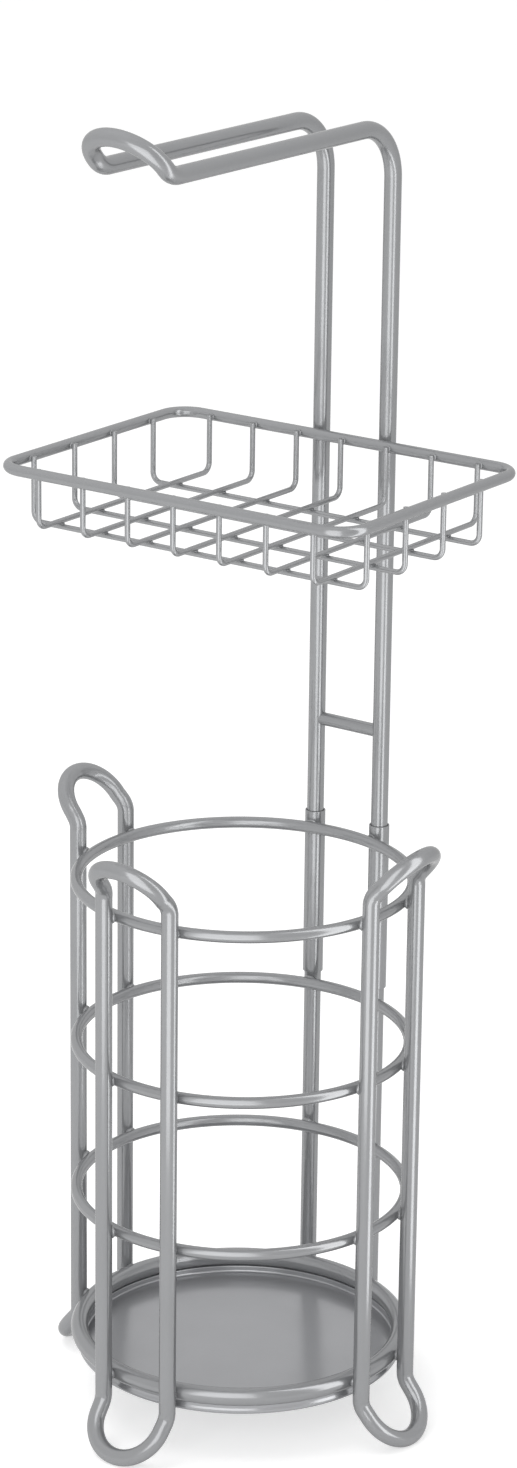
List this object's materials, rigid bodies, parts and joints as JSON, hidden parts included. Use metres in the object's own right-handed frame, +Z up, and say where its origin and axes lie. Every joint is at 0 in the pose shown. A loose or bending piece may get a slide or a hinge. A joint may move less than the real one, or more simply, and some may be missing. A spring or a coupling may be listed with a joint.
{
  "type": "toilet paper stand",
  "caption": "Free-standing wire stand with a roll arm on twin posts, a wire shelf and a round open cage for spare toilet rolls.",
  "frame": {"origin": "on the floor, at the middle of the whole stand's width and depth", "axes": "+Z up; -Y is the front, towards which the roll arm points; +X is on the right of someone who faces the front from the -Y side"},
  "size_m": [0.1982, 0.2022, 0.6003],
  "materials": {
    "rod_paint": "satin silver-grey paint on round rod and tube",
    "wire_paint": "satin silver-grey paint on thin wire",
    "sheet_paint": "satin silver-grey paint on pressed sheet"
  },
  "bodies": {
    "base": {"tray": "sheet_paint", "tray_rim": "rod_paint", "lower_hoop": "rod_paint", "middle_hoop": "rod_paint", "top_hoop": "rod_paint", "front_loop": "rod_paint", "right_loop": "rod_paint", "left_loop": "rod_paint", "back_frame": "rod_paint", "left_sleeve": "rod_paint", "right_sleeve": "rod_paint"},
    "upper": {"post_and_arm": "rod_paint", "crossbar": "rod_paint", "shelf_rim": "rod_paint", "shelf_cross_wire_1": "wire_paint", "shelf_cross_wire_2": "wire_paint", "shelf_cross_wire_3": "wire_paint", "shelf_cross_wire_4": "wire_paint", "shelf_cross_wire_5": "wire_paint", "shelf_cross_wire_6": "wire_paint", "shelf_cross_wire_7": "wire_paint", "shelf_long_wire_1": "wire_paint", "shelf_long_wire_2": "wire_paint", "shelf_long_wire_3": "wire_paint", "shelf_long_wire_4": "wire_paint"}
  },
  "joints": [
    {"name": "upper_lift", "type": "slide", "parent": "base", "child": "upper", "axis": [0, 0, 1], "range_m": [0, 0.045]}
  ]
}
